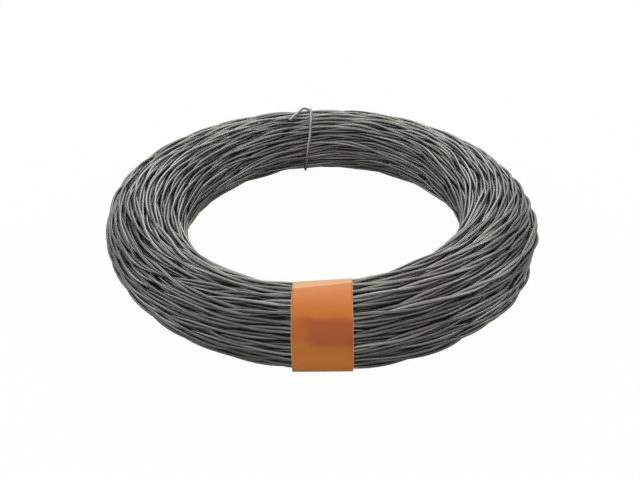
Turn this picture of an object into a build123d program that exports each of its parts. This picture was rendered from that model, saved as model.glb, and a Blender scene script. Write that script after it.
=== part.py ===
from build123d import *
import math
import os

os.makedirs("parts", exist_ok=True)

# Coil of twisted annealed wire, lying flat. Millimetres, +Z up.
# The origin is on the floor, at the centre of the eye. The label is at -Y, the tie at +Y.

# Coil
eye_diameter = 117.0
bundle_width = 34.0         # from the eye to the outside
bundle_height = 29.0
turn_pitch = 4.6            # about, from one ridge of turns to the next
turn_relief = 0.6           # how far a ridge stands out of the grooves beside it
resting_flat = 0.2          # how far the lowest turns are pressed flat by the floor

# Paper label, a band round the front of the bundle
label_width = 22.0
label_thickness = 0.25
label_clearance = 0.3

# Tie, a single wire round the back of the bundle with its ends hooked together
tie_diameter = 1.24
tie_sides = 6               # the tie's round section is drawn with this many sides
tie_clearance = 0.3
tie_offset = 7.5            # from the coil's middle, to the left
tie_lean = 2.8              # how much further left the tie's foot is than its top
tie_bend_width = 4.4        # between the centre lines of the hooked end's two legs
tie_bend_radius = 1.9
tie_bend_lift = 0.4         # the hooked end's bend stands this much higher than the loop
tie_foot_radius = 4.0       # where the loop turns under the bundle, and at its shoulder
tie_tip_radius = 1.0
tie_tip_rise = 1.9
tie_tail_reach = 9.6        # how far the tail comes back over the bundle
tie_tail_spread = 5.6       # how far the tail's end lies from the hooked end's bend
tie_tail_lift = 1.0         # the tail's end stands this much higher than the loop

overrun = 5.0               # cutters run this far past what they cut

# The bundle's section
half_width = bundle_width / 2
ring_radius = eye_diameter / 2 + half_width
mean_half_span = (bundle_width + bundle_height) / 4
turns_shown = 4 * round(math.pi * mean_half_span / (2 * turn_pitch)) + 2
turn_step = 2 * math.pi / turns_shown
half_height = (bundle_height + resting_flat) / (2 * math.cos(turn_step / 2))
centre_height = (bundle_height - resting_flat) / 2


def on_section(angle, stand):
    """Radius and height of a point that stands off the bundle's section."""
    radius = ring_radius + (half_width + stand) * math.cos(angle)
    height = centre_height + (half_height + stand) * math.sin(angle)
    return radius, height


def at_back(angle, left, stand):
    """A point off the bundle's back, its distance to the left of the middle given."""
    radius, height = on_section(angle, stand)
    return Vector(-left, math.sqrt(radius**2 - left**2), max(height, tie_diameter / 2))


def make_turned_bundle():
    """The turned solid: a groove and a crest for each turn that shows, spun round the eye."""
    outline = []
    for turn in range(turns_shown):
        start = turn * turn_step - math.pi / 2
        outline.append(on_section(start, -turn_relief))
        outline.append(on_section(start + turn_step / 2, 0))
    profile = Plane.XZ * make_face(Polyline(*outline, close=True))
    bundle = revolve(profile, Axis.Z)
    return split(bundle, bisect_by=Plane.XY, keep=Keep.TOP)


def floor_relief(middle_x, side, width, depth):
    """A cutter for the underside, where a band or a wire passes between bundle and floor."""
    cutter = Box(width, bundle_width, depth + overrun, align=(Align.CENTER, Align.CENTER, Align.MAX))
    return Pos(middle_x, side * ring_radius, depth) * cutter


def make_label():
    """The paper band: straight across its width, so it clears the ring's curve at its edges."""
    outer_wall = ring_radius + half_width + label_clearance
    inner_wall = math.sqrt((eye_diameter / 2)**2 - (label_width / 2)**2) - label_clearance
    middle = (outer_wall + inner_wall) / 2
    reach = (outer_wall - inner_wall) / 2
    rise = half_height + label_clearance
    place = Pos(-middle, centre_height)
    outside = place * Ellipse(reach + label_thickness, rise + label_thickness)
    inside = place * Ellipse(reach, rise)
    floor_width = 2 * (reach + label_thickness)
    ground = Pos(-middle, 0) * Rectangle(floor_width, overrun, align=(Align.CENTER, Align.MAX))
    inner_floor = Pos(0, label_thickness) * ground
    band = (outside - ground) - (inside - inner_floor)
    return extrude(Plane.YZ * band, label_width / 2, both=True)


def corner_radii(points, share):
    """The largest fillets that each corner's two runs allow, as a share of the shorter run."""
    radii = []
    for before, corner, after in zip(points, points[1:], points[2:]):
        run_in = corner - before
        run_out = after - corner
        half_turn = math.radians(run_in.get_angle(run_out)) / 2
        radii.append(share * min(run_in.length, run_out.length) / math.tan(half_turn))
    return radii


def make_tie():
    """The tie's wire: from its tail over the hooked bend, round the bundle, to its turned-up tip."""
    loop_step = math.radians(30)
    stand = tie_clearance + tie_diameter / 2
    corner_stand = (stand + mean_half_span) / math.cos(loop_step / 2) - mean_half_span
    bend_stand = stand + tie_bend_lift
    top_left = tie_offset - tie_lean / 2
    bend_left = top_left + tie_bend_width
    tip_left = top_left + tie_bend_width / 2
    bend_angle = math.radians(62)
    tail_angle = math.pi / 2 + tie_tail_reach / half_height

    tail = [
        at_back(tail_angle, bend_left + tie_tail_spread, stand + tie_tail_lift),
        at_back(math.pi / 2, bend_left, bend_stand),
    ]
    bend = [at_back(bend_angle, left, bend_stand) for left in (bend_left, top_left)]
    inner_side = []
    for step in range(3, 9):
        angle = step * loop_step
        left = tie_offset - tie_lean / 2 * math.sin(angle)
        inner_side.append(at_back(angle, left, corner_stand))
    outer_side = [at_back(step * loop_step, tip_left, corner_stand) for step in (-2, -1, 0, 1)]
    tip_foot = at_back(math.pi / 2, tip_left, tie_clearance - tie_diameter / 2)
    tip = [tip_foot, tip_foot + Vector(0, 0, tie_tip_rise)]

    route = tail + bend + inner_side + outer_side + tip
    radii = corner_radii(route, 0.45)
    limits = [(bend[0], tie_bend_radius), (bend[1], tie_bend_radius), (inner_side[-1], tie_foot_radius)]
    limits += [(outer_side[0], tie_foot_radius), (outer_side[-1], tie_foot_radius), (tip_foot, tie_tip_radius)]
    for corner, limit in limits:
        place = route.index(corner) - 1
        radii[place] = min(radii[place], limit)
    print("tie radii", [round(radius, 1) for radius in radii])
    path = FilletPolyline(*route, radius=radii)
    wire = Plane(origin=path @ 0, z_dir=path % 0) * RegularPolygon(tie_diameter / 2, tie_sides)
    return sweep(wire, path=path), outer_side[-1], tip_foot


def tip_relief(start, end):
    """A slot in the bundle's shoulder, where the tie's tip passes under the hooked bend."""
    run = end - start
    width = tie_diameter + 2 * tie_clearance
    slot = Box(width, width + overrun, run.length + 2 * width, align=(Align.CENTER, Align.MIN, Align.CENTER))
    along = Plane(origin=(start + end) / 2, x_dir=(1, 0, 0), z_dir=run)
    return along * Pos(0, -width / 2, 0) * slot


tie_wire, shoulder, tip_foot = make_tie()
label_band = make_label()
wire_coil = make_turned_bundle()
wire_coil -= floor_relief(0, -1, label_width + 2 * label_clearance, label_thickness + label_clearance)
foot_width = tie_diameter + 2 * tie_clearance + tie_lean
wire_coil -= floor_relief(shoulder.X, 1, foot_width, tie_diameter + 2 * tie_clearance)
wire_coil -= tip_relief(shoulder, tip_foot)

parts = {"wire_coil": wire_coil, "label_band": label_band, "tie_wire": tie_wire}
for name, shape in parts.items():
    shape.label = name
    export_step(shape, f"parts/{name}.step")
    size = shape.bounding_box().size
    print(name, "solids", len(shape.solids()), "volume", round(shape.volume), "size", size)
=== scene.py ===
import math

import bpy
import numpy as np
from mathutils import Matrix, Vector


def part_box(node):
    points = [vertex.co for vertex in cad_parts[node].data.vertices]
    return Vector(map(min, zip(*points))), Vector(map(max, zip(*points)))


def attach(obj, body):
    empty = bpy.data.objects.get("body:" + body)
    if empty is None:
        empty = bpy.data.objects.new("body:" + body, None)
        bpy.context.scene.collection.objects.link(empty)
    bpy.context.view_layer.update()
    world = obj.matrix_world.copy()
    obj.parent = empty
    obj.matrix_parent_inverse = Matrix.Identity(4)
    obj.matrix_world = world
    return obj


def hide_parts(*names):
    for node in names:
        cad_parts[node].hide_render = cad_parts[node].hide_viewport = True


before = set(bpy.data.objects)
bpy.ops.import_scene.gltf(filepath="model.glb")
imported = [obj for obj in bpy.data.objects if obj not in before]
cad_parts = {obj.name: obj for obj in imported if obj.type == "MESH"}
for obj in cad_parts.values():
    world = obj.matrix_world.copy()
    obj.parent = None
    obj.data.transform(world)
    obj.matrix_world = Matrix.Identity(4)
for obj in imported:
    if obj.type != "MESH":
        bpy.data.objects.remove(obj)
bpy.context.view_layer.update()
scene = bpy.context.scene
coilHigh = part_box("wire_coil")[1]


# Nodes, for materials and Geometry Nodes alike


class Tap:
    # one output of a node; sums on it add Math nodes
    def __init__(self, board, node, name=0):
        self.board = board
        self.node = node
        self.socket = node.outputs[name] if node.outputs else None

    def out(self, name):
        return Tap(self.board, self.node, name)

    def math(self, operation, *values):
        numbered = dict(enumerate((self, *values)))
        return self.board.add("ShaderNodeMath", {"operation": operation}, numbered)

    def __add__(self, other):
        return self.math("ADD", other)

    def __radd__(self, other):
        return self.math("ADD", other)

    def __sub__(self, other):
        return self.math("SUBTRACT", other)

    def __rsub__(self, other):
        return self.board.add("ShaderNodeMath", {"operation": "SUBTRACT"}, {0: other, 1: self})

    def __mul__(self, other):
        return self.math("MULTIPLY", other)

    def __rmul__(self, other):
        return self.math("MULTIPLY", other)

    def __truediv__(self, other):
        return self.math("DIVIDE", other)

    def __rtruediv__(self, other):
        return self.board.add("ShaderNodeMath", {"operation": "DIVIDE"}, {0: other, 1: self})


class Board:
    # a node tree being wired
    def __init__(self, tree):
        self.tree = tree
        tree.nodes.clear()

    def add(self, kind, settings=None, sockets=None, out=0):
        node = self.tree.nodes.new(kind)
        for name, value in (settings or {}).items():
            setattr(node, name, value)
        for key, value in (sockets or {}).items():
            self.plug(node, key, value)
        return Tap(self, node, out)

    def plug(self, node, key, value):
        if isinstance(key, int):
            socket = node.inputs[key]
        else:
            socket = next(one for one in node.inputs if one.name == key and one.enabled)
        if isinstance(value, Tap):
            self.tree.links.new(value.socket, socket)
        else:
            socket.default_value = value

    def mix(self, share, first, second):
        settings = {"data_type": "RGBA", "blend_type": "MIX"}
        node = self.add("ShaderNodeMix", settings).node
        self.plug(node, 0, share)
        self.plug(node, 6, first)
        self.plug(node, 7, second)
        return Tap(self, node, 2)

    def smooth(self, value, low, high):
        settings = {"interpolation_type": "SMOOTHSTEP"}
        sockets = {"Value": value, "From Min": low, "From Max": high}
        return self.add("ShaderNodeMapRange", settings, sockets)


def makeTree(name, inputs):
    # a Geometry Nodes tree with its named inputs
    tree = bpy.data.node_groups.new(name, "GeometryNodeTree")
    board = Board(tree)
    for label, kind in inputs:
        tree.interface.new_socket(label, in_out="INPUT", socket_type=f"NodeSocket{kind}")
    tree.interface.new_socket("Geometry", in_out="OUTPUT", socket_type="NodeSocketGeometry")
    return board, board.add("NodeGroupInput")


def endTree(board, geometry, material):
    solid = board.add("GeometryNodeRealizeInstances", {}, {"Geometry": geometry})
    dressed = board.add("GeometryNodeSetMaterial", {}, {"Geometry": solid, "Material": material})
    board.add("NodeGroupOutput", {}, {"Geometry": dressed})


def runTree(name, board, values):
    # a plain mesh object, made by the tree with these inputs
    host = bpy.data.objects.new(name, bpy.data.meshes.new(name))
    scene.collection.objects.link(host)
    modifier = host.modifiers.new("shape", "NODES")
    modifier.node_group = board.tree
    for item in board.tree.interface.items_tree:
        if item.in_out == "INPUT":
            modifier[item.identifier] = values[item.name]
    made = host.evaluated_get(bpy.context.evaluated_depsgraph_get())
    mesh = bpy.data.meshes.new_from_object(made)
    mesh.name = name
    host.modifiers.clear()
    host.data = mesh
    return host


def ownPiece(piece, slot, *nodes):
    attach(piece, "root")
    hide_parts(*nodes)
    return piece


# Camera

cameraValues = {
    "distance": 0.3926,
    "elevation": 32.04,     # degrees above the floor
    "lens": 50.87,
    "aimHeight": 0.0146,
    "sideShift": -0.0046,
    "upShift": -0.0359,
}


def makeCamera():
    lens = bpy.data.cameras.new("camera")
    lens.lens = cameraValues["lens"]
    lens.sensor_width = 36.0
    lens.shift_x = cameraValues["sideShift"]
    lens.shift_y = cameraValues["upShift"]
    lens.clip_start = 0.01
    camera = bpy.data.objects.new("camera", lens)
    scene.collection.objects.link(camera)
    lift = math.radians(cameraValues["elevation"])
    back = Vector((0, -math.cos(lift), math.sin(lift)))
    aim = Vector((0, 0, cameraValues["aimHeight"]))
    camera.location = aim + back * cameraValues["distance"]
    camera.rotation_euler = (-back).to_track_quat("-Z", "Y").to_euler()
    scene.camera = camera


# Winding: where every turn of the pair lies

windingValues = {
    "ringShare": 0.8157,    # ring radius, as a share of the coil's outer radius
    "bundleWidth": 0.0346,
    "bundleHeight": 0.0303,
    "turns": 111,
    "stations": 48,         # control points on each turn
    "contact": 0.00228,     # how far apart two turns' middles are pushed, as twisted pairs nest a little
    "spread": 0.0031,       # how near they still push each other a little
    "wander": 0.0018,       # how far a turn strays from its place
    "wanderReach": 5.0,     # over how many stations it does
    "jump": 0.007,          # most of a step from one turn's place to the next one's
    "leastJump": 0.3,       # the shortest step, as a share of it
    "lowFirst": 0.25,       # how strongly the lower places are taken first
    "whim": 0.002,          # how much chance adds to that choice
    "roll": 0.52,           # how far the top turns roll inward at the front and outward at the back
    "rightRoll": 0.16,      # how much more of that they do on the right than on the left
    "bend": 0.0008,         # how far a control point may stand off its neighbours before it is drawn back
    "edge": 0.9,            # strands by which the turns' middles stay inside the bundle's outline
    "floorGap": 0.00009,    # air between the lowest turns and the floor
    "rounds": 240,
    "seed": 7,
}
settling = {                # how the turns push each other off, round by round
    "touching": 0.75,       # for turns that lie closer than contact
    "spreading": 0.06,      # for turns within spread, and less in each round
    "between": 0.3,         # for the stretches between two stations
    "betweenContact": 0.97,
    "stride": 1.5,
    "evenness": 1.3,        # stations over which a push is smoothed, in the first round
    "evennessLost": 0.6,    # by the last one
}
wireValues = {
    "strand": 0.00124,
    "lay": 0.048,           # one full twist of the pair
    "ringSpacing": 0.0018,
    "sides": 8,
    "slack": 0.10,          # how far the strands of a pair open, as a share of their radius
    "slackScale": 35.0,     # how often they do, along the wire
    "unrest": 2.4,          # radians by which the twist runs uneven
    "unrestScale": 22.0,
    "pieces": 5,
    "stray": 0.008,         # how far a strand's end may lie from where the route is cut
}
# how the real bundle departs from an even ring: shares of the cosine and sine of the angle round the
# eye, then of two and of three times that angle
ringSwell = (0.0002, -0.0002, -0.0117, 0.0031, 0.0011, -0.0129)
widthSwell = (-0.0524, 0.0480, -0.0168, -0.1131, -0.0110, 0.0125)
heightSwell = (0.0247, -0.0674, 0.0558, -0.0149, -0.0150, -0.0186)
frontAngle = -math.pi / 2
tieAngle = math.radians(96)
tieDraw = {"share": 0.030, "reach": 0.13}       # how much tighter the tie draws the bundle


def swell(angle, shares):
    # one such departure, as a factor at each angle
    waves = [wave(order * angle) for order in (1, 2, 3) for wave in (np.cos, np.sin)]
    return 1 + sum(share * wave for share, wave in zip(shares, waves))


def turnFrom(angle, place):
    # how far round the eye an angle is from a place, either way
    return np.abs(np.angle(np.exp(1j * (angle - place))))


def bundleSection(angle):
    # ring radius and the section's half width and half height
    drawn = 1 - tieDraw["share"] * np.exp(-((turnFrom(angle, tieAngle) / tieDraw["reach"]) ** 2))
    ring = windingValues["ringShare"] * coilHigh[0] * swell(angle, ringSwell)
    wide = windingValues["bundleWidth"] / 2 * swell(angle, widthSwell) * drawn
    high = windingValues["bundleHeight"] / 2 * swell(angle, heightSwell) * drawn
    return ring, wide, high


def smoothAlong(values, reach):
    # both columns evened out along their rows, with the first and the last row held on beyond them
    span = np.arange(-math.ceil(3 * reach), math.ceil(3 * reach) + 1)
    weights = np.exp(-0.5 * (span / reach) ** 2)
    weights /= weights.sum()
    padded = np.pad(values, ((len(span) // 2, len(span) // 2), (0, 0)), "edge")
    columns = [np.convolve(padded[:, axis], weights, "valid") for axis in (0, 1)]
    return np.stack(columns, -1)


def evenPlaces(count, halfWidth, halfHeight):
    # hexagonal places that fill the section, one for each turn
    pitch = math.sqrt(math.pi * halfWidth * halfHeight / count * 2 / math.sqrt(3))
    plenty = 20             # rows and columns each way, more than the section holds
    rows, columns = np.mgrid[-plenty:plenty + 1, -plenty:plenty + 1]
    across = (columns + 0.5 * (rows % 2)) * pitch
    up = rows * pitch * math.sqrt(3) / 2
    places = np.stack([across.ravel(), up.ravel()], -1)
    reach = np.hypot(places[:, 0] / halfWidth, places[:, 1] / halfHeight)
    nearest = np.argsort(reach)[:count]
    return places[nearest] / max(1.0, reach[nearest].max())


def windingOrder(places, chance):
    # the turns are dropped from the floor up, each a short way from the last
    left = list(range(len(places)))
    here = min(left, key=lambda place: places[place, 1])
    order = []
    while len(left) > 1:
        left.remove(here)
        order.append(here)
        step = np.linalg.norm(places[left] - places[here], axis=1)
        wish = chance.uniform(windingValues["leastJump"], 1.0) * windingValues["jump"]
        height = windingValues["lowFirst"] * places[left, 1]
        cost = abs(step - wish) + height + chance.uniform(0, windingValues["whim"], len(left))
        here = left[int(np.argmin(cost))]
    return order + left


def pushApart(places, width):
    # places is turns by stations by 2; each is pushed off whatever is nearer than width
    across = places.transpose(1, 0, 2)
    gap = across[:, :, None] - across[:, None]
    distance = np.sqrt((gap**2).sum(-1)) + 1e-9     # never zero
    overlap = np.maximum(width - distance, 0)
    diagonal = np.arange(len(places))
    overlap[:, diagonal, diagonal] = 0
    push = (gap / distance[..., None] * overlap[..., None]).sum(2) / 2
    return push.transpose(1, 0, 2).reshape(-1, 2)


# the label and the tie pass under the turns and hold them off the floor: how high, at what angle, how
# far round from there, and how squarely that begins
heldUp = {
    "byLabel": (0.0009, frontAngle + 0.03, 0.17, 6),
    "byTie": (0.0016, tieAngle, 0.15, 2),
}


def floorLift(angle):
    lifts = [rise * np.exp(-((turnFrom(angle, place) / reach) ** power))
             for rise, place, reach, power in heldUp.values()]
    return sum(lifts)


def layTurns(angle, limit, middle, chance):
    # first places of the control points, turn after turn, from the section's middle
    turns, stations = windingValues["turns"], windingValues["stations"]
    places = evenPlaces(turns, *middle)
    places = places[windingOrder(places, chance)]
    following = np.concatenate([places[1:], places[-1:]])
    along = (np.arange(stations) / stations)[None, :, None]
    spots = places[:, None] * (1 - along) + following[:, None] * along
    across, up = (spots / middle).transpose(2, 0, 1)
    around = angle - frontAngle
    roll = windingValues["roll"] * np.cos(around) + windingValues["rightRoll"] * np.sin(2 * around)
    rolled = [across * np.cos(roll) - up * np.sin(roll), across * np.sin(roll) + up * np.cos(roll)]
    spots = np.stack(rolled, -1).reshape(-1, 2) * limit
    drift = smoothAlong(chance.normal(size=spots.shape), windingValues["wanderReach"])
    return spots + drift / drift.std() * windingValues["wander"]


def pushTurns(spots, done):
    # one round of settling, at the stations and halfway between them
    grid = (windingValues["turns"], windingValues["stations"], 2)
    contact = windingValues["contact"]
    push = settling["touching"] * pushApart(spots.reshape(grid), contact)
    push += settling["spreading"] * (1 - done) * pushApart(spots.reshape(grid), windingValues["spread"])
    between = np.concatenate([(spots[:-1] + spots[1:]) / 2, spots[-1:]])
    halfPush = pushApart(between.reshape(grid), settling["betweenContact"] * contact)
    halfPush = settling["between"] * halfPush
    push += halfPush
    push[1:] += halfPush[:-1]
    evenness = settling["evenness"] - settling["evennessLost"] * done
    return spots + settling["stride"] * smoothAlong(push, evenness)


def straighten(spots):
    # takes back what a control point stands off its neighbours beyond the bend allowed
    bend = np.zeros_like(spots)
    bend[1:-1] = (spots[:-2] + spots[2:]) / 2 - spots[1:-1]
    excess = 1 - windingValues["bend"] / np.maximum(np.hypot(*bend.T), windingValues["bend"])
    return spots + bend * excess[:, None]


def windCoil():
    turns, stations = windingValues["turns"], windingValues["stations"]
    chance = np.random.default_rng(windingValues["seed"])
    angle = frontAngle + np.arange(stations) * 2 * math.pi / stations
    ring, wide, high = bundleSection(angle)
    margin = windingValues["edge"] * wireValues["strand"]
    limit = np.tile(np.stack([wide - margin, high - margin], -1), (turns, 1))
    floorLine = wireValues["strand"] + windingValues["floorGap"]
    lowest = np.tile(floorLine + floorLift(angle) - high, turns)
    middle = (wide.mean() - margin, high.mean() - margin)
    spots = layTurns(angle, limit, middle, chance)
    for turnRound in range(windingValues["rounds"]):
        spots = straighten(pushTurns(spots, turnRound / windingValues["rounds"]))
        outside = np.hypot(*(spots / limit).T)
        spots = spots / np.maximum(outside, 1)[:, None]
        spots[:, 1] = np.maximum(spots[:, 1], lowest)
    angle = np.tile(angle, turns)
    radius = np.tile(ring, turns) + spots[:, 0]
    height = np.tile(high, turns) + spots[:, 1]
    return np.stack([radius * np.cos(angle), radius * np.sin(angle), height], -1)


def makeRoute(name, points):
    # an unseen smooth curve with these control points
    curve = bpy.data.curves.new(name, "CURVE")
    curve.dimensions = "3D"
    curve.resolution_u = 5
    spline = curve.splines.new("NURBS")
    spline.points.add(len(points) - 1)
    weighted = np.concatenate([points, np.ones((len(points), 1))], 1)
    spline.points.foreach_set("co", weighted.ravel())
    spline.order_u = 3
    spline.use_endpoint_u = True
    route = bpy.data.objects.new(name, curve)
    scene.collection.objects.link(route)
    return route


def readRoute(route):
    # the points along the curve, from its first end to its last
    line = bpy.data.meshes.new_from_object(route)
    points = np.empty(len(line.vertices) * 3)
    line.vertices.foreach_get("co", points)
    bpy.data.meshes.remove(line)
    return points.reshape(-1, 3)


def dropRoute(route):
    curve = route.data
    bpy.data.objects.remove(route)
    bpy.data.curves.remove(curve)


def sweepWire(board, line, radius, sides):
    # a round wire along each line, with its side stored for the material
    circle = board.add("GeometryNodeCurvePrimitiveCircle", {}, {"Resolution": sides, "Radius": radius})
    spot = board.add("GeometryNodeInputPosition")
    unit = board.add("ShaderNodeVectorMath", {"operation": "NORMALIZE"}, {0: spot})
    section = board.add("GeometryNodeStoreNamedAttribute", {"data_type": "FLOAT_VECTOR"}, {
        "Geometry": circle, "Name": "girth", "Value": unit})
    swept = board.add("GeometryNodeCurveToMesh", {}, {
        "Curve": line, "Profile Curve": section, "Fill Caps": True})
    return board.add("GeometryNodeSetShadeSmooth", {}, {"Geometry": swept})


def twistTree():
    # two strands laid round a route, then swept; one stretch of it at a time
    board, given = makeTree("twistedPair", [
        ("Route", "Object"), ("Strand", "Float"), ("Lay", "Float"), ("Ring spacing", "Float"),
        ("Sides", "Int"), ("Slack", "Float"), ("Slack scale", "Float"), ("Unrest", "Float"),
        ("Unrest scale", "Float"), ("From", "Float"), ("To", "Float"), ("Wire", "Material"),
    ])
    line = board.add("GeometryNodeObjectInfo", {}, {"Object": given.out("Route")}, "Geometry")
    evenly = board.add("GeometryNodeResampleCurve", {"mode": "LENGTH"}, {
        "Curve": line, "Length": given.out("Ring spacing")})
    run = board.add("GeometryNodeSplineParameter", out="Length")
    stored = board.add("GeometryNodeStoreNamedAttribute", {"data_type": "FLOAT"}, {
        "Geometry": evenly, "Name": "run", "Value": run})
    normal = board.add("GeometryNodeInputNormal")
    tangent = board.add("GeometryNodeInputTangent")
    side = board.add("ShaderNodeVectorMath", {"operation": "CROSS_PRODUCT"}, {0: tangent, 1: normal})
    radius = given.out("Strand") / 2
    unrest = board.add("ShaderNodeTexNoise", {"noise_dimensions": "1D"}, {
        "W": run, "Scale": given.out("Unrest scale"), "Detail": 1.0})
    farOff = 300.0          # so that the opening doesn't follow the unrest
    opening = board.add("ShaderNodeTexNoise", {"noise_dimensions": "1D"}, {
        "W": run + farOff, "Scale": given.out("Slack scale"), "Detail": 1.0})
    reach = radius * (1.0 + given.out("Slack") * (opening * 2.0))
    strands = []
    for strand in (0, 1):
        turn = run / given.out("Lay") * (2 * math.pi) + unrest * given.out("Unrest") + strand * math.pi
        alongNormal = board.add("ShaderNodeVectorMath", {"operation": "SCALE"}, {
            "Vector": normal, "Scale": turn.math("COSINE") * reach})
        alongSide = board.add("ShaderNodeVectorMath", {"operation": "SCALE"}, {
            "Vector": side, "Scale": turn.math("SINE") * reach})
        offset = board.add("ShaderNodeVectorMath", {"operation": "ADD"}, {0: alongNormal, 1: alongSide})
        laid = board.add("GeometryNodeSetPosition", {}, {"Geometry": stored, "Offset": offset})
        tagged = board.add("GeometryNodeStoreNamedAttribute", {"data_type": "FLOAT"}, {
            "Geometry": laid, "Name": "strand", "Value": float(strand)})
        strands.append(tagged)
    both = board.add("GeometryNodeJoinGeometry")
    for strand in strands:
        board.plug(both.node, "Geometry", strand)
    stretch = board.add("GeometryNodeTrimCurve", {"mode": "FACTOR"}, {
        "Curve": both, 2: given.out("From"), 3: given.out("To")})
    swept = sweepWire(board, stretch, radius, given.out("Sides"))
    endTree(board, swept, given.out("Wire"))
    return board


def makeCoil(material):
    points = windCoil()
    print("wound", windingValues["turns"], "turns")
    route = makeRoute("coilRoute", points)
    line = readRoute(route)
    tree = twistTree()
    count = wireValues["pieces"]
    values = {
        "Route": route, "Strand": wireValues["strand"], "Lay": wireValues["lay"],
        "Ring spacing": wireValues["ringSpacing"], "Sides": wireValues["sides"],
        "Slack": wireValues["slack"], "Slack scale": wireValues["slackScale"],
        "Unrest": wireValues["unrest"], "Unrest scale": wireValues["unrestScale"], "Wire": material,
    }
    pieces = []
    for part in range(count):
        name = f"twisted_wire_{part + 1}"
        piece = runTree(name, tree, values | {"From": part / count, "To": (part + 1) / count})
        ownPiece(piece, "annealed_wire", "wire_coil")
        pieces.append(piece)
    dropRoute(route)
    return pieces


# What binds the bundle: the wire tie at the back and the paper label in front


def surfacePoints(pieces, side, low, high):
    # the turns' surface between two planes across X, as x, distance out from the ring and height
    # above the section's middle, on one side of the eye
    found = []
    for piece in pieces:
        points = np.empty(len(piece.data.vertices) * 3, dtype=np.float32)
        piece.data.vertices.foreach_get("co", points)
        points = points.reshape(-1, 3)
        keep = (points[:, 0] > low) & (points[:, 0] < high) & (points[:, 1] * side > 0)
        found.append(points[keep])
    found = np.concatenate(found) * (1, side, 1)
    return found - (0, *bundleMiddle(side))


def bundleMiddle(side):
    # ring radius and middle height of the section at the back, or at the front for a side of -1
    ring, wide, high = bundleSection(np.array([side * math.pi / 2]))
    return ring[0], high[0]


def tightReach(points, angles):
    # how far a band drawn tight round these points stands from the middle, at each angle: the points
    # bear it up to a line across each direction, and the nearest of those lines is where it lies
    directions = np.radians(np.arange(0, 360, 2))
    support = (points[:, 1:] @ np.stack([np.cos(directions), np.sin(directions)])).max(0)
    lean = np.cos(directions[:, None] - angles[None])
    leastLean = 0.05        # a direction nearly square to the angle says nothing of it
    farAway = 1.0
    reach = support[:, None] / np.maximum(lean, leastLean)
    return np.where(lean > leastLean, reach, farAway).min(0)


tieValues = {
    "thickness": 0.00124,
    "ringSpacing": 0.0004,
    "sides": 14,
    "touch": 0.00003,       # air between the tie and the turns that it lies on
    "grip": 0.0022,         # half width of the turns that bear each point of the tie
    "points": 34,           # on its way round, after the hook
    "bearers": (-0.022, 0.0),   # stretch along X from which the turns that bear it are taken
}
# from the cut tail over the hooked bend: section angle in degrees, from the outer side over the top,
# then place along X, and rise above the turns, in millimetres
tieHook = [
    (124, -16.7, 1.05), (113, -15.1, 0.95), (101, -13.4, 0.90), (88, -12.0, 0.80), (74, -11.0, 0.75),
    (62, -10.3, 0.70), (57, -9.5, 0.60), (57, -8.6, 0.45), (64, -7.5, 0.30), (72, -6.5, 0.20),
    (84, -6.0, 0.10), (98, -6.2, 0),
]
# the rest of the tie down the inner side, under the bundle and up the outer side, to end beside the hook
tieRound = [
    (106, -5.9, 0), (150, -6.4, 0), (175, -7.7, 0), (216, -8.8, 0), (270, -8.9, 0), (330, -8.3, 0),
    (380, -7.0, 0), (400, -6.4, 0),
]


def tieRoute(pieces):
    turns = surfacePoints(pieces, 1, *tieValues["bearers"])
    ring, middle = bundleMiddle(1)
    rounding = np.linspace(tieRound[0][0], tieRound[-1][0], tieValues["points"])
    steps = np.array(tieRound)
    rest = [np.interp(rounding, steps[:, 0], steps[:, column]) for column in (0, 1, 2)]
    places = np.concatenate([np.array(tieHook), np.stack(rest, -1)])
    route = []
    for degrees, across, rise in places:
        across, angle = across / 1000, np.radians([degrees])
        near = turns[abs(turns[:, 0] - across) < tieValues["grip"]]
        stand = tieValues["thickness"] / 2 + tieValues["touch"] + rise / 1000
        reach = tightReach(near, angle)[0] + stand
        route.append((across, ring + reach * math.cos(angle[0]), middle + reach * math.sin(angle[0])))
    return np.array(route)


def sweepTree():
    # one wire swept along a route
    board, given = makeTree("sweptWire", [
        ("Route", "Object"), ("Thickness", "Float"), ("Ring spacing", "Float"), ("Sides", "Int"),
        ("Wire", "Material"),
    ])
    line = board.add("GeometryNodeObjectInfo", {}, {"Object": given.out("Route")}, "Geometry")
    evenly = board.add("GeometryNodeResampleCurve", {"mode": "LENGTH"}, {
        "Curve": line, "Length": given.out("Ring spacing")})
    run = board.add("GeometryNodeSplineParameter", out="Length")
    stored = board.add("GeometryNodeStoreNamedAttribute", {"data_type": "FLOAT"}, {
        "Geometry": evenly, "Name": "run", "Value": run})
    swept = sweepWire(board, stored, given.out("Thickness") / 2, given.out("Sides"))
    endTree(board, swept, given.out("Wire"))
    return board


def makeTie(pieces, material):
    route = makeRoute("tieRoute", tieRoute(pieces))
    tie = runTree("bound_tie", sweepTree(), {
        "Route": route, "Thickness": tieValues["thickness"], "Ring spacing": tieValues["ringSpacing"],
        "Sides": tieValues["sides"], "Wire": material,
    })
    dropRoute(route)
    ownPiece(tie, "tie", "tie_wire")
    print("tie of", len(tie.data.polygons), "faces")


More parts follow.
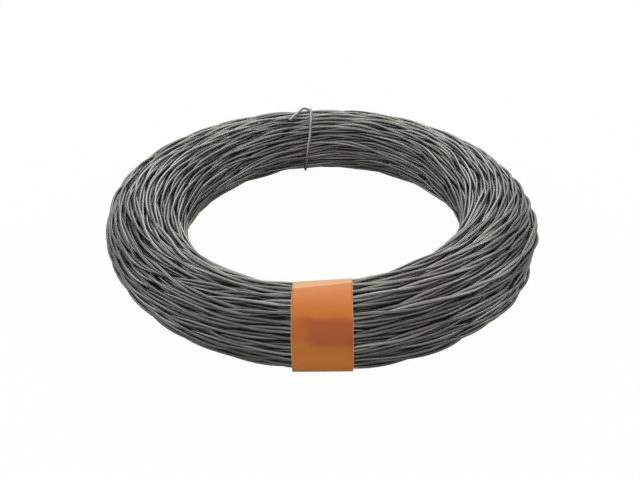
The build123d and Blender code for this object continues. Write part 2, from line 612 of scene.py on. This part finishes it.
labelValues = {
    "width": 0.0217,
    "sway": 0.00035,        # how far it strays to the left at most
    "swayAt": 55,           # where it does, in degrees round the section
    "slack": 0.0004,        # how loose its left edge is where it turns under; the right one is tight
    "slackAt": -45,         # degrees round the section
    "thickness": 0.00016,
    "touch": 0.00008,
    "from": -190,           # degrees round the section, from the outer side over the top
    "overlap": 0.012,       # glued, on the inner side
    "lapRise": 0.35,        # radians in which the upper layer climbs onto the lower one
    "rows": 300,
    "columns": 21,
    "slabs": 9,             # stretches of its width, each drawn tight over its own turns
    "slabReach": 0.75,      # half of one, in steps from one to the next
    "edgeReach": 0.001,     # how far past its edges turns still bear it
    "evenness": 6,          # rows over which the paper rounds off the turns under it
    "layer": 1.25,          # how far apart the lapped layers lie, in thicknesses
    "wobble": 0.00012,      # how unevenly the edges are cut and creased
    "wobbleWaves": ((3, 0.6, 0.6), (7, 2.0, 0.4)),      # count of each round it, start in radians, share
}


def labelReach(pieces, across, angles):
    # distance from the section's middle to the paper, for each column and row
    edge = labelValues["edgeReach"]
    turns = surfacePoints(pieces, -1, across[0] - edge, across[-1] + edge)
    centres = np.linspace(across[0], across[-1], labelValues["slabs"])
    halfSlab = (centres[1] - centres[0]) * labelValues["slabReach"]
    tight = [tightReach(turns[abs(turns[:, 0] - centre) < halfSlab], angles) for centre in centres]
    tight = np.stack(tight)
    # in each row the paper is straight across, lifted until none of the slabs stands out of it
    slope, level = np.polyfit(centres, tight, 1)
    level = level + (tight - centres[:, None] * slope - level).max(0)
    level, slope = smoothAlong(np.stack([level, slope], -1), labelValues["evenness"]).T
    return across[:, None] * slope + level


def labelPoints(pieces, across, angles):
    # the middle of the paper: a line of points round the section for each place across it
    ring, middle = bundleMiddle(-1)
    lapped = np.clip((angles - angles[0] - 2 * math.pi) / labelValues["lapRise"] + 1, 0, 1)
    lapped = lapped * lapped * (3 - 2 * lapped)
    layer = labelValues["thickness"] * labelValues["layer"]
    loose = np.clip(np.cos(angles - math.radians(labelValues["slackAt"])), 0, 1) ** 3
    slack = labelValues["slack"] * loose * np.linspace(1, 0, len(across))[:, None]
    reach = labelReach(pieces, across, angles)
    reach = reach + labelValues["touch"] + labelValues["thickness"] / 2 + layer * lapped + slack
    wave = sum(share * np.sin(count * angles + begin) for count, begin, share in labelValues["wobbleWaves"])
    sway = labelValues["sway"] * np.cos(angles - math.radians(labelValues["swayAt"]))
    x = np.tile(across[:, None], (1, len(angles))) + labelValues["wobble"] * wave - sway
    y = -(ring + reach * np.cos(angles))
    z = np.maximum(middle + reach * np.sin(angles), labelValues["thickness"])   # it rests on the floor
    return np.stack([x, y, z], -1).reshape(-1, 3)


def labelSheet(pieces):
    # the paper as a sheet without thickness, its printing laid out across it and in turns round it
    rows, columns = labelValues["rows"], labelValues["columns"]
    lap = labelValues["overlap"] / bundleMiddle(-1)[1]
    start = math.radians(labelValues["from"])
    angles = np.linspace(start, start + 2 * math.pi + lap, rows)
    half = labelValues["width"] / 2
    across = np.linspace(-half, half, columns)
    points = labelPoints(pieces, across, angles)
    corner = np.arange(columns * rows).reshape(columns, rows)
    quads = np.stack([corner[:-1, :-1], corner[1:, :-1], corner[1:, 1:], corner[:-1, 1:]], -1)
    quads = quads.reshape(-1, 4)
    mesh = bpy.data.meshes.new("paper_label")
    mesh.from_pydata(points.tolist(), [], quads.tolist())
    u = np.repeat((across - across[0]) / labelValues["width"], rows)
    v = np.tile((angles - start) / (2 * math.pi), columns)
    uvLayer = mesh.uv_layers.new(name="paper")
    uvLayer.data.foreach_set("uv", np.stack([u, v], -1)[quads.ravel()].ravel())
    mesh.polygons.foreach_set("use_smooth", [True] * len(mesh.polygons))
    return mesh


def makeLabel(pieces, material):
    mesh = labelSheet(pieces)
    label = bpy.data.objects.new("paper_label", mesh)
    scene.collection.objects.link(label)
    mesh.materials.append(material)
    body = label.modifiers.new("paper", "SOLIDIFY")
    body.thickness = labelValues["thickness"]
    body.offset = 0
    made = label.evaluated_get(bpy.context.evaluated_depsgraph_get())
    solid = bpy.data.meshes.new_from_object(made)
    label.modifiers.clear()
    label.data = solid
    solid.name = "paper_label"
    ownPiece(label, "label_paper", "label_band")
    print("label of", len(solid.polygons), "faces")


# Materials


def newMaterial(name):
    material = bpy.data.materials.new(name)
    material.use_nodes = True
    return material, Board(material.node_tree)


def endMaterial(board, sockets):
    surface = board.add("ShaderNodeBsdfPrincipled", {}, sockets)
    board.add("ShaderNodeOutputMaterial", {}, {"Surface": surface})


wireLook = {
    "metal": (0.0565, 0.0573, 0.0482, 1),
    "pale": (0.172, 0.171, 0.155, 1),
    "rust": (0.075, 0.056, 0.045, 1),
    "metallic": 0.565,
    "roughness": 0.36,
    "streaks": 95.0,        # scale of the drawn streaks along the wire
    "streakWeight": 0.6,    # how much they make the wire paler
    "stretches": 4.5,       # scale of the paler and darker stretches
    "stretchWeight": 0.7,
    "paleFrom": (0.50, 0.86),
    "patches": 14.0,        # scale of the rusty ones
    "rustFrom": (0.60, 0.74),
    "rustShare": 0.4,
    "tailEndDarkReach": (0.0005, 0.0010),   # metres from the route's first end, over which the darker colour there gives way to the rest
    "grain": 2.2,           # how fine the streaks are round the wire
    "roughShare": 0.16,     # how much the streaks change the roughness
    "bump": 0.35,
    "bumpDepth": 0.00006,
}
tieLook = wireLook | {
    "metal": (0.145, 0.143, 0.132, 1),
    "pale": (0.25, 0.246, 0.23, 1),
    "rust": (0.13, 0.12, 0.11, 1),
    # a darker colour at the tie's tail end
    "tailEndDark": (0.02, 0.0195, 0.018, 1),
    "roughness": 0.45,
}


def wireMaterial(name, look):
    material, board = newMaterial(name)
    run = board.add("ShaderNodeAttribute", {"attribute_name": "run"}, out="Fac")
    girth = board.add("ShaderNodeAttribute", {"attribute_name": "girth"}, out="Vector")
    strand = board.add("ShaderNodeAttribute", {"attribute_name": "strand"}, out="Fac")
    parted = board.add("ShaderNodeSeparateXYZ", {}, {0: girth})
    grain = board.add("ShaderNodeCombineXYZ", {}, {
        "X": parted.out("X") * look["grain"] + strand * 9.0,     # so that the strands differ
        "Y": parted.out("Y") * look["grain"], "Z": run * look["streaks"],
    })
    streaks = board.add("ShaderNodeTexNoise", {}, {"Vector": grain, "Scale": 1.0, "Detail": 3.0})
    place = board.add("ShaderNodeCombineXYZ", {}, {"X": run, "Y": strand * 5.0})
    patches = board.add("ShaderNodeTexNoise", {"noise_dimensions": "2D"}, {
        "Vector": place, "Scale": look["patches"], "Detail": 2.0})
    stretches = board.add("ShaderNodeTexNoise", {"noise_dimensions": "2D"}, {
        "Vector": place, "Scale": look["stretches"], "Detail": 1.0})
    paleness = streaks * look["streakWeight"] + stretches * look["stretchWeight"]
    paleShare = board.smooth(paleness, *look["paleFrom"])
    rustShare = board.smooth(patches, *look["rustFrom"]) * look["rustShare"]
    color = board.mix(paleShare, look["metal"], look["pale"])
    color = board.mix(rustShare, color, look["rust"])
    # the first millimetre of the route, the tie's tail end, is darker
    if "tailEndDark" in look:
        color = board.mix(1 - board.smooth(run, *look["tailEndDarkReach"]), color, look["tailEndDark"])
    bump = board.add("ShaderNodeBump", {}, {
        "Strength": look["bump"], "Distance": look["bumpDepth"], "Height": streaks})
    rough = look["roughness"] + streaks * look["roughShare"] - look["roughShare"] / 2
    endMaterial(board, {
        "Base Color": color, "Metallic": look["metallic"],
        "Roughness": rough, "Normal": bump,
    })
    return material


labelLook = {
    "orange": (0.45, 0.139, 0.020, 1),
    # painted light: a brighter orange for the lower paper, standing in for light the lamps give too little of
    # there
    "paintedLightLow": (0.53, 0.167, 0.027, 1),
    "brick": (0.327, 0.068, 0.0135, 1),
    # pale: the bare paper at the cut edges, and the colour of the painted sheen
    "pale": (0.623, 0.417, 0.252, 1),
    "paintedLightBelow": (-8, 14),     # degrees round the section: orange painted brighter below, as painted light for the lower paper that gets less light, full orange above
    "panel": (17, 50),
    "panelSoft": 0.016,     # how soft its edges are, in turns round the section
    "panelFade": (0.18, 0.36),      # share of the width, from the left, over which it comes up
    "panelLeast": 0.6,
    # painted sheen: a pale band along the paper's top, standing in for the gloss reflection of the light
    # behind where the paper turns over the bundle
    "paintedSheen": (100.5, 158),
    "paintedSheenSoft": 0.004,
    "paintedSheenShare": 0.55,
    "rim": (0.488, 0.497),  # where the bare paper of the cut edges begins, from the middle
    "rimShare": 0.6,
    "waver": 0.022,         # how unevenly the panel's edges run, in turns round the section
    "panelSlant": 0.008,    # how much less far round their right ends lie, in turns
    "paintedSheenSlant": 0.024,    # how much further round the right ends of the painted sheen's edges lie
    "fibres": 900.0,
    "bump": 0.12,
    "bumpDepth": 0.00005,
    "roughness": 0.55,
    "shine": 0.22,
}


def labelMaterial():
    material, board = newMaterial("printedPaper")
    paper = board.add("ShaderNodeUVMap", {"uv_map": "paper"}, out="UV")
    parted = board.add("ShaderNodeSeparateXYZ", {}, {0: paper})
    across, around = parted.out("X"), parted.out("Y")

    def turn(degrees):
        return (degrees - labelValues["from"]) / 360

    def band(edge, limits, soft):
        low, high = (turn(limit) for limit in limits)
        inside = board.smooth(edge, low - soft, low + soft)
        return inside * (1 - board.smooth(edge, high - soft, high + soft))

    uneven = board.add("ShaderNodeTexNoise", {"noise_dimensions": "2D"}, {
        "Vector": paper, "Scale": 3.0, "Detail": 1.0})
    edge = around + (uneven - 0.5) * labelLook["waver"] + across * labelLook["panelSlant"]
    least = labelLook["panelLeast"]
    fade = board.smooth(across, *labelLook["panelFade"]) * (1 - least) + least
    panel = band(edge, labelLook["panel"], labelLook["panelSoft"]) * fade
    # painted light: the lower front of the paper takes the brighter orange, the rest full orange
    plainOrangeShare = board.smooth(around, *(turn(limit) for limit in labelLook["paintedLightBelow"]))
    ground = board.mix(plainOrangeShare, labelLook["paintedLightLow"], labelLook["orange"])
    color = board.mix(panel, ground, labelLook["brick"])
    # painted sheen along the paper's top, mixed in with the pale colour
    edge = around - across * labelLook["paintedSheenSlant"]
    paintedSheen = band(edge, labelLook["paintedSheen"], labelLook["paintedSheenSoft"])
    color = board.mix(paintedSheen * labelLook["paintedSheenShare"], color, labelLook["pale"])
    rim = board.smooth((across - 0.5).math("ABSOLUTE"), *labelLook["rim"])
    color = board.mix(rim * labelLook["rimShare"], color, labelLook["pale"])
    fibre = board.add("ShaderNodeTexNoise", {}, {
        "Vector": board.add("ShaderNodeTexCoord", out="Object"), "Scale": labelLook["fibres"], "Detail": 3.0})
    bump = board.add("ShaderNodeBump", {}, {
        "Strength": labelLook["bump"], "Distance": labelLook["bumpDepth"], "Height": fibre})
    endMaterial(board, {
        "Base Color": color, "Roughness": labelLook["roughness"],
        "Specular IOR Level": labelLook["shine"], "Normal": bump,
    })
    return material


# Stage: a pale floor, a plain soft light and a white surround

stageValues = {
    "floorSize": 6.0,
    "floorColor": (0.58, 0.58, 0.575, 1),
    "shadowShare": 0.03,    # how much of the floor's own shading shows to the camera
    "mirroredShare": 0.05,  # how white the floor is in what mirrors it
    "skyLight": 0.125,
}
lampValues = {              # power in watts, width across, and place; each one looks at the coil
    "topLamp": (1.7, 0.5, (-0.06, 0.0, 1.0)),
    "backLamp": (10.6, 0.8, (0.0, 0.95, 0.75)),
    "frontLamp": (2.4, 0.7, (0.0, -1.0, 0.6)),
    "highFrontLamp": (0.7, 0.7, (0.0, -0.85, 0.85)),
    "lowFrontLamp": (1.8, 0.7, (0.0, -1.05, 0.3)),
    "leftLamp": (5.9, 0.6, (-0.9, 0.0, 0.65)),
    "rightLamp": (5.7, 0.6, (0.9, 0.0, 0.65)),
}


def whiteToTheEye(board, seen, mirrored):
    # the share of plain white that the camera sees, and that gloss and glass show
    path = board.add("ShaderNodeLightPath")
    mirror = (path.out("Is Glossy Ray") + path.out("Is Transmission Ray")).math("MINIMUM", 1.0)
    return path.out("Is Camera Ray") * seen + mirror * mirrored


def makeStage():
    size = stageValues["floorSize"] / 2
    corners = [(-size, -size, 0), (size, -size, 0), (size, size, 0), (-size, size, 0)]
    mesh = bpy.data.meshes.new("floor")
    mesh.from_pydata(corners, [], [(0, 1, 2, 3)])
    floor = bpy.data.objects.new("floor", mesh)
    scene.collection.objects.link(floor)
    material, board = newMaterial("paleFloor")
    ground = board.add("ShaderNodeBsdfDiffuse", {}, {"Color": stageValues["floorColor"]})
    white = board.add("ShaderNodeEmission", {}, {"Color": (1, 1, 1, 1), "Strength": 1.0})
    share = whiteToTheEye(board, 1 - stageValues["shadowShare"], stageValues["mirroredShare"])
    surface = board.add("ShaderNodeMixShader", {}, {0: share, 1: ground, 2: white})
    board.add("ShaderNodeOutputMaterial", {}, {"Surface": surface})
    mesh.materials.append(material)


def makeLamp(name, power, size, place):
    light = bpy.data.lights.new(name, "AREA")
    light.shape = "DISK"
    light.size = size
    light.energy = power
    lamp = bpy.data.objects.new(name, light)
    scene.collection.objects.link(lamp)
    lamp.location = place
    lamp.rotation_euler = (-Vector(place)).to_track_quat("-Z", "Y").to_euler()


def makeLight():
    for name, (power, size, place) in lampValues.items():
        makeLamp(name, power, size, place)
    world = bpy.data.worlds.new("surround")
    world.use_nodes = True
    scene.world = world
    board = Board(world.node_tree)
    sky = board.add("ShaderNodeBackground", {}, {
        "Color": (1, 1, 1, 1), "Strength": stageValues["skyLight"]})
    white = board.add("ShaderNodeBackground", {}, {"Color": (1, 1, 1, 1), "Strength": 1.0})
    surface = board.add("ShaderNodeMixShader", {}, {0: whiteToTheEye(board, 1.0, 1.0), 1: sky, 2: white})
    board.add("ShaderNodeOutputWorld", {}, {"Surface": surface})


scene.view_settings.view_transform = "Standard"
makeCamera()
makeStage()
makeLight()
print("camera, floor and light are in place")
coilPieces = makeCoil(wireMaterial("annealedWire", wireLook))
makeTie(coilPieces, wireMaterial("tieSteel", tieLook))
makeLabel(coilPieces, labelMaterial())
